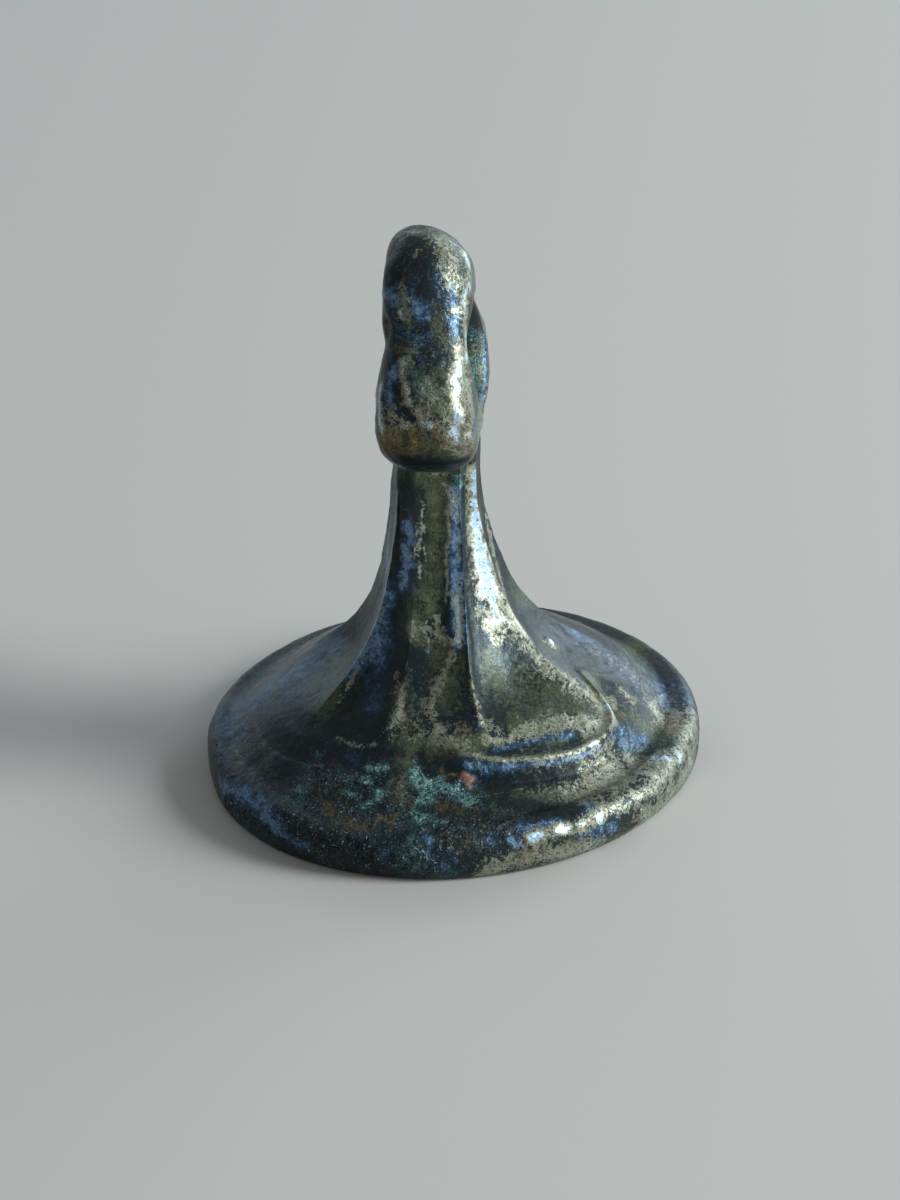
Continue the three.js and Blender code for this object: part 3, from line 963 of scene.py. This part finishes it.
def painted(points, strokes, ragged):
    """The amount of one kind of mark at each point, from all its strokes."""
    left = np.ones(len(points))
    for amount, half, path in strokes:
        left *= 1 - amount * cover(points, path, half, ragged)
    return 1 - left


def ragged_edges(points):
    """The noise that makes the edges of strokes ragged."""
    return fractal(points, RAGGED_SIZE, 3, layer=1)


def neighbour_mean(edges, values):
    """The mean of each vertex's neighbours."""
    a, b = edges.T
    count = np.bincount(edges.ravel(), minlength=len(values))
    total = np.bincount(a, values[b], len(values)) + np.bincount(b, values[a], len(values))
    return total / np.maximum(count, 1)


def bulge(piece):
    """How convex the surface is at each vertex: on a ball, half of one over its radius."""
    edges = np.zeros(len(piece.data.edges) * 2, np.int32)
    piece.data.edges.foreach_get("vertices", edges)
    edges = edges.reshape(-1, 2)
    points, out = places(piece), normals(piece)
    length = np.linalg.norm(points[edges[:, 0]] - points[edges[:, 1]], axis=1)
    weight = np.bincount(edges.ravel(), np.repeat(length**2, 2), len(points))
    weight /= np.maximum(np.bincount(edges.ravel(), minlength=len(points)), 1)
    mean = np.stack([neighbour_mean(edges, points[:, i]) for i in range(3)], -1)
    value = -np.sum((mean - points) * out, axis=1) / weight
    value = np.clip(value, -MOST_BULGE, MOST_BULGE)
    for _ in range(BULGE_ROUNDS):
        value = (value + neighbour_mean(edges, value)) / 2
    return value


def seen(points, out):
    """How squarely each vertex faces the photograph's camera, from 0 to 1."""
    towards = camera_axes()[3] - points
    towards /= np.linalg.norm(towards, axis=1)[:, None]
    return smooth(0.0, SEEN_IN_FULL, np.sum(towards * out, axis=1))


def strewn(points, hidden, layer, amount):
    """How much of a kind of mark is strewn over each point, in patches that are fuller where hidden."""
    broad = fractal(points + PATCH_SHIFT * layer, PATCH_SIZE, 3, layer % LATTICE_LAYERS)
    patches = smooth(*PATCH_NOISE, broad)
    amount = amount * (THIN_SHARE + PATCH_SHARE * patches * (1 + HIDDEN_SHARE * hidden))
    return np.clip(amount, 0, 1)


def wear(piece, marks):
    """The amounts of each kind of wear and corrosion at a piece's vertices, with painted highlights, sky
    reflections, glints and shade among them.
    """
    points, out = places(piece), normals(piece)
    ragged = ragged_edges(points)
    hidden = 1 - seen(points, out)
    edge = bulge(piece)
    amounts = {}
    for layer, kind in enumerate(KINDS):
        base = strewn(points, hidden, layer, EVERYWHERE[piece.name].get(kind, 0))
        amounts[kind] = 1 - (1 - painted(points, marks[kind], ragged)) * (1 - base)
    worn = smooth(*WORN_BULGE, edge) * (WORN_SHARE + HIDDEN_WORN_SHARE * hidden)
    amounts["bare"] = np.maximum(amounts["bare"], worn)
    hollows = smooth(*HOLLOW_DARK_BULGE, -edge) * HOLLOW_DARK_SHARE
    dark = np.maximum(painted(points, marks["dark"], ragged), hollows)
    for kind in UNDER_DARK_AND_SHADE:
        amounts[kind] *= 1 - DARK_AND_SHADE_HIDES_SHARE * dark
    return amounts | {"dark": dark}


def skin_height(piece, points, grit):
    """How far dents, pits and grit move a piece's skin outwards at each point."""
    height = DENT_HEIGHT * fractal(points, DENT_SIZE, 4) + RIPPLE_HEIGHT * noise(points, RIPPLE_SIZE, 3)
    pitted = smooth(*PITTED_NOISE, fractal(points, PITTED_SIZE, 2, 4))
    height -= PIT_DEPTH * craters(points, PIT_SIZE) * pitted
    grains = GRAIN_HEIGHT * fractal(points, GRAIN_SIZE, 3, 5)
    height += grit * (grains - GRIT_PIT_DEPTH * craters(points + GRIT_PIT_SHIFT, GRIT_PIT_SIZE))
    if piece.name == "pierced_head":
        height += HEAD_DENT_HEIGHT * fractal(points, HEAD_DENT_SIZE, 2, 2)
    return height


def roughen(piece, amounts, grooves):
    """Moves a piece's skin by its dents, pits, grit and grooves, and stays inside the CAD box."""
    points, out = places(piece), normals(piece)
    height = skin_height(piece, points, amounts["grit"])
    ragged = GROOVE_RAGGED_SHARE * ragged_edges(points)
    for depth, half, path in grooves:
        height -= depth * cover(points, path, half, ragged)
    height *= smooth(*CALM[piece.name], points[:, 2])
    moved = points + out * height[:, None]
    radius = np.hypot(moved[:, 0], moved[:, 1])
    shrink = np.minimum(1, (DIE_RADIUS - BOX_SLACK) / radius)
    moved[:, :2] *= shrink[:, None]
    moved[:, 2] = np.minimum(moved[:, 2], HEAD_TOP - BOX_SLACK)
    move(piece, moved)


def keep_amounts(piece, amounts):
    """Keeps each kind's amounts as an attribute that the materials read."""
    for kind, amount in amounts.items():
        layer = piece.data.attributes.new(kind, "FLOAT", "POINT")
        layer.data.foreach_set("value", amount.astype(np.float32))


def age(pieces):
    """Lays the marks on all pieces at once, then wears and roughens each."""
    graph = bpy.context.evaluated_depsgraph_get()
    trees = [BVHTree.FromObject(piece, graph) for piece in pieces]
    marks = {kind: laid(strokes, trees) for kind, strokes in (KINDS | {"dark": DARK}).items()}
    grooves = laid(GROOVES, trees)
    for piece in pieces:
        amounts = wear(piece, marks)
        roughen(piece, amounts, grooves)
        keep_amounts(piece, amounts)


# Materials, whose noises have sizes in millimetres

# The darkest and the lightest tone of each colour
TONES = {
    "patina": ((0.002, 0.004, 0.007), (0.016, 0.015, 0.009)),
    "worn": ((0.026, 0.034, 0.024), (0.18, 0.21, 0.145)),
    "olive": ((0.016, 0.02, 0.011), (0.15, 0.162, 0.1)),
    "blue": ((0.006, 0.015, 0.034), (0.1, 0.165, 0.26)),
    # the pale blue is a painted sky sheen
    "pale_blue": ((0.12, 0.21, 0.33), (0.46, 0.6, 0.78)),
    "teal": ((0.007, 0.026, 0.03), (0.27, 0.44, 0.4)),
    "rust": ((0.03, 0.022, 0.01), (0.26, 0.185, 0.085)),
    "brass": ((0.12, 0.125, 0.09), (0.55, 0.545, 0.45)),
}
GREEN_BLACK, RED_BLACK = (0.014, 0.026, 0.027), (0.03, 0.02, 0.02)
PALE_RUST, SALMON_CRUST = (0.34, 0.31, 0.21), (0.33, 0.2, 0.17)
# The polished brass is bright bluish metal that also paints the sheen of the highlights
OLD_BRASS, POLISHED_BRASS_AND_SHEEN = (0.26, 0.23, 0.14), (0.54, 0.67, 0.78)
# the glint colour paints small bluish-white highlights in the grit
GLINT, SPECULAR_TINT = (0.6, 0.8, 1.0), (0.78, 0.91, 1.0)
# The second black paints shade where the dark strokes lie, and darkens the hollows
PIT_BLACK, DARK_AND_SHADE_BLACK, GRIME = (0.008, 0.01, 0.01), (0.005, 0.007, 0.007), (0.006, 0.01, 0.012)


class Kit:
    """Short ways to add nodes to a new material and to join them."""

    def __init__(self, name):
        self.material = bpy.data.materials.new(name)
        self.material.use_nodes = True
        self.tree = self.material.node_tree
        self.shader = self.tree.nodes["Principled BSDF"]

    def put(self, socket, value):
        if isinstance(value, bpy.types.NodeSocket):
            self.tree.links.new(value, socket)
        elif hasattr(socket.default_value, "__len__") and len(socket.default_value) == 4:
            socket.default_value = (*value, 1)
        else:
            socket.default_value = value

    def add(self, kind, inputs, output=0, **settings):
        node = self.tree.nodes.new(kind)
        for key, value in settings.items():
            setattr(node, key, value)
        for key, value in inputs.items():
            self.put(node.inputs[key], value)
        return node.outputs[output]

    def millimetres(self, seed):
        """Object coordinates in millimetres, moved aside by a seed."""
        place = self.add("ShaderNodeTexCoord", {}, "Object")
        inputs = {0: place, 1: (1 / MM,) * 3, 2: (seed,) * 3}
        return self.add("ShaderNodeVectorMath", inputs, operation="MULTIPLY_ADD")

    def noise(self, size, detail, roughness, seed=0.0):
        inputs = {"Scale": 1 / size, "Detail": detail, "Roughness": roughness}
        return self.add("ShaderNodeTexNoise", {"Vector": self.millimetres(seed)} | inputs)

    def amount(self, kind):
        return self.add("ShaderNodeAttribute", {}, "Fac", attribute_name=kind)

    def times(self, a, b):
        return self.add("ShaderNodeMath", {0: a, 1: b}, operation="MULTIPLY")

    def sum(self, a, b, scale=1.0):
        """a plus b times a scale."""
        return self.add("ShaderNodeMath", {0: b, 1: scale, 2: a}, operation="MULTIPLY_ADD")

    def step(self, value, low, high, most=1.0):
        """Smoothly from 0 at low to most at high."""
        inputs = {"Value": value, "From Min": low, "From Max": high, "To Max": most}
        return self.add("ShaderNodeMapRange", inputs, interpolation_type="SMOOTHSTEP")

    def value(self, share, a, b):
        return self.add("ShaderNodeMix", {0: share, 2: a, 3: b}, 0, data_type="FLOAT")

    def colour(self, share, a, b):
        return self.add("ShaderNodeMix", {0: share, 6: a, 7: b}, 2, data_type="RGBA")

    def tone(self, share, name):
        """A colour between its darkest and its lightest tone."""
        return self.colour(share, *TONES[name])

    def patch(self, kind, noise, soft, most=1.0):
        """Covers as large a share of the surface as a kind's amount, where the noise is lowest."""
        amount = self.sum(-soft, self.amount(kind), 1 + 2 * soft)
        return self.step(self.sum(amount, noise, -1.0), -soft, soft, most)


def mix_noises(kit, speckle):
    """Gives a kit its noises, and mixes of them in which fine speckles have that share."""
    kit.broad = kit.step(kit.noise(1.2, 4, 0.6), 0.36, 0.64)
    kit.mottle = kit.noise(0.4, 5, 0.65)
    kit.fine = kit.noise(0.14, 4, 0.7, seed=13)
    kit.grain = kit.noise(0.06, 2, 0.6, seed=29)
    kit.grime = kit.step(kit.noise(0.1, 4, 0.75, seed=41), 0.5, 0.62, speckle)
    kit.speck = kit.step(kit.value(speckle, kit.mottle, kit.fine), 0.38, 0.62)
    kit.blotch = kit.step(kit.value(0.6, kit.mottle, kit.fine), 0.38, 0.62)
    kit.sharp = kit.step(kit.value(0.35, kit.fine, kit.grain), 0.42, 0.6)
    fine_light = kit.step(kit.value(0.4, kit.fine, kit.grain), 0.36, 0.64)
    kit.light = kit.value(speckle, kit.step(kit.mottle, 0.34, 0.66), fine_light)


def dark_patina(kit):
    """Blue-black to brown-black, with greenish and reddish patches."""
    dark = kit.colour(kit.blotch, kit.tone(kit.broad, "patina"), GREEN_BLACK)
    reddish = kit.step(kit.sum(kit.fine, kit.mottle, -0.5), 0.24, 0.4, 0.8)
    return kit.colour(reddish, dark, RED_BLACK)


def blue_patina_and_sky_sheen(kit):
    """Deep blue, partly patina and partly a painted reflection of sky, and paler, a painted sky sheen,
    where there is much of it.
    """
    much = kit.step(kit.sum(kit.amount("blue"), kit.speck, -0.6), 0.3, 0.8)
    return kit.colour(much, kit.tone(kit.light, "blue"), kit.tone(kit.light, "pale_blue"))


def rust_crust(kit):
    """Rusty brown with pale crumbs."""
    return kit.colour(kit.step(kit.sharp, 0.5, 1, 0.5), kit.tone(kit.light, "rust"), PALE_RUST)


def brass_and_painted_sheen(kit):
    """Pale brass with darker patches, turning to bright bluish polished metal, a painted sheen, where
    the strokes are strongest.
    """
    brass = kit.colour(kit.step(kit.broad, 0.6, 0.95, 0.4), kit.tone(kit.light, "brass"), OLD_BRASS)
    # polished metal where the strokes are strongest: a painted sheen
    polished_and_sheen = kit.step(kit.amount("bare"), 0.75, 1.0)
    polished_and_sheen = kit.step(kit.sum(polished_and_sheen, kit.speck, -0.4), 0.0, 0.5)
    return kit.colour(polished_and_sheen, brass, POLISHED_BRASS_AND_SHEEN)


def patina_layers(kit, bare, crust, blend):
    """What lies over the dark patina, with painted sky reflections, painted sheen and painted glints
    among it, as (share covered, colour, metallic, roughness added).
    """
    rusty = kit.value(0.5, kit.speck, kit.sharp)
    # painted glints where there is grit
    glints = kit.step(kit.value(0.35, kit.fine, kit.grain), 0.57, 0.63)
    return (
        (kit.patch("olive", kit.blotch, blend, 0.9), kit.tone(kit.light, "olive"), 0.3, 0.0),
        (kit.patch("blue", kit.blotch, blend, 0.95), blue_patina_and_sky_sheen(kit), 0.5, -0.04),
        (kit.patch("bare", kit.blotch, 0.9, 0.8), kit.tone(kit.light, "worn"), 0.4, 0.0),
        (bare, brass_and_painted_sheen(kit), 0.6, 0.06),
        (kit.patch("rust", rusty, 0.35, 0.85), rust_crust(kit), 0.1, 0.2),
        (crust, kit.tone(kit.sharp, "teal"), 0.0, 0.3),
        (kit.patch("salmon", kit.blotch, 0.9), SALMON_CRUST, 0.0, 0.3),
        (kit.times(kit.amount("grit"), glints), GLINT, 0.5, -0.1),
    )


def dirty_and_shaded(kit, colour, dark_and_shade):
    """A colour with dark pits, fine grime, and the near-black of the dark strokes and hollows over it,
    which paints shade in grooves, notches and under the head's lobes.
    """
    cells = {"Vector": kit.millimetres(5), "Scale": 3.4}
    pit = kit.step(kit.add("ShaderNodeTexVoronoi", cells, "Distance"), 0.2, 0.1)
    pit = kit.times(pit, kit.step(kit.broad, 0.4, 0.7))
    for share, darkening in ((pit, PIT_BLACK), (dark_and_shade, DARK_AND_SHADE_BLACK), (kit.grime, GRIME)):
        colour = kit.colour(share, colour, darkening)
    return colour


def patina_relief(kit, bare, crust, depth):
    """Fine relief, stronger in the grit, lower where the metal is bare and higher on the crust."""
    relief = kit.sum(kit.mottle, kit.fine, kit.sum(0.4, kit.amount("grit"), 5.0))
    relief = kit.sum(relief, kit.grain, 0.1)
    relief = kit.sum(relief, kit.sum(bare, crust, -1.5), -0.15)
    bump = {"Height": relief, "Strength": 1.0, "Distance": depth * MM}
    return kit.add("ShaderNodeBump", bump)


def patina(name, polish, crust_depth, speckle):
    """Dark patina over pale brass, with layers where the vertex amounts put them, among them painted
    sheen, sky reflections, glints and shade.

    Its tones vary in soft mottles and in fine speckles, and speckle is the share of the fine ones.
    """
    kit = Kit(name)
    mix_noises(kit, speckle)
    blend = 0.8 * (1 - speckle)
    # bare metal, with painted sheen where the strokes are strongest
    bare = kit.patch("bare", kit.value(0.6, kit.speck, kit.sharp), blend / 2)
    crust = kit.patch("teal", kit.value(0.4, kit.step(kit.fine, 0.38, 0.62), kit.blotch), 0.3)
    # the dark strokes and hollows, with painted shade among them
    dark_and_shade = kit.step(kit.sum(kit.amount("dark"), kit.speck, -0.5), 0.3, 0.9, 0.75)
    colour, metal, rough = dark_patina(kit), 0.2, kit.value(kit.mottle, -0.06, 0.1)
    for share, layer_colour, layer_metal, layer_rough in patina_layers(kit, bare, crust, blend):
        colour = kit.colour(share, colour, layer_colour)
        metal = kit.value(share, metal, layer_metal)
        rough = kit.value(share, rough, layer_rough)
    colour = {"Saturation": 1.2, "Color": dirty_and_shaded(kit, colour, dark_and_shade)}
    rough = kit.sum(kit.sum(rough, dark_and_shade, 0.25), kit.amount("grit"), -0.06)
    finish = {
        "Base Color": kit.add("ShaderNodeHueSaturation", colour),
        "Metallic": metal,
        "Roughness": kit.sum(polish, rough),
        "Specular IOR Level": 0.3,
        "Specular Tint": SPECULAR_TINT,
        "Normal": patina_relief(kit, bare, crust, crust_depth),
    }
    for socket, value in finish.items():
        kit.put(kit.shader.inputs[socket], value)
    return kit.material


def die_patina():
    return patina("die_patina", polish=0.31, crust_depth=0.035, speckle=0.65)


def shank_patina():
    return patina("shank_patina", polish=0.3, crust_depth=0.028, speckle=0.48)


def head_patina():
    return patina("head_patina", polish=0.28, crust_depth=0.028, speckle=0.6)


# Stage

FLOOR_WIDTH, FLOOR_COLOUR, FLOOR_ROUGHNESS = 3, (0.58, 0.555, 0.52, 1), 0.8
WORLD_LEVEL, WORLD_COLOUR = 0.25, (0.9, 0.95, 1.0, 1)
# Lamps, as (name, bearing, elevation, distance, size, power, colour), in degrees, metres and watts
LAMPS = (
    ("window", 82, 18, 0.4, (0.13, 0.3), 2.7, (0.87, 0.96, 1.0)),
    ("back", 190, 28, 0.5, (0.5, 0.2), 0.12, (0.8, 0.9, 1.0)),
    ("back_right", 142, 16, 0.5, (0.35, 0.28), 1.2, (0.84, 0.94, 1.0)),
    ("left", -148, 18, 0.5, (0.25, 0.25), 0.15, (0.65, 0.82, 1.0)),
)


def make_stage():
    bpy.ops.mesh.primitive_plane_add(size=FLOOR_WIDTH)
    floor = bpy.context.object
    floor.name = "floor"
    material = bpy.data.materials.new("floor")
    material.use_nodes = True
    shader = material.node_tree.nodes["Principled BSDF"]
    shader.inputs["Base Color"].default_value = FLOOR_COLOUR
    shader.inputs["Roughness"].default_value = FLOOR_ROUGHNESS
    floor.data.materials.append(material)


def make_world():
    world = bpy.data.worlds.new("world")
    world.use_nodes = True
    background = world.node_tree.nodes["Background"]
    background.inputs["Color"].default_value = WORLD_COLOUR
    background.inputs["Strength"].default_value = WORLD_LEVEL
    bpy.context.scene.world = world


def make_lamp(name, bearing, elevation, distance, size, power, colour):
    """A soft rectangular lamp that faces the matrix."""
    data = bpy.data.lights.new(name, "AREA")
    data.shape = "RECTANGLE"
    data.size, data.size_y = size
    data.energy = power
    data.color = colour
    made = bpy.data.objects.new(name, data)
    bpy.context.scene.collection.objects.link(made)
    b, e = math.radians(bearing), math.radians(elevation)
    towards = Vector((math.cos(b) * math.cos(e), math.sin(b) * math.cos(e), math.sin(e)))
    made.location = Vector((0, 0, TARGET_HEIGHT * MM)) + towards * distance
    made.rotation_mode = "QUATERNION"
    made.rotation_quaternion = towards.to_track_quat("Z", "Y")


die, shank, head = make_die(), make_shank(), make_head()
make_camera()
age((die, shank, head))
make_stage()
make_world()
for settings in LAMPS:
    make_lamp(*settings)

for made, node, slot, material in (
    (die, "seal_die", "die_patina", die_patina()),
    (shank, "shank", "shank_patina", shank_patina()),
    (head, "suspension_head", "head_patina", head_patina()),
):
    made.data.materials.append(material)
    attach(made, "root")
    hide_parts(node)

bpy.context.scene.view_settings.view_transform = "Standard"
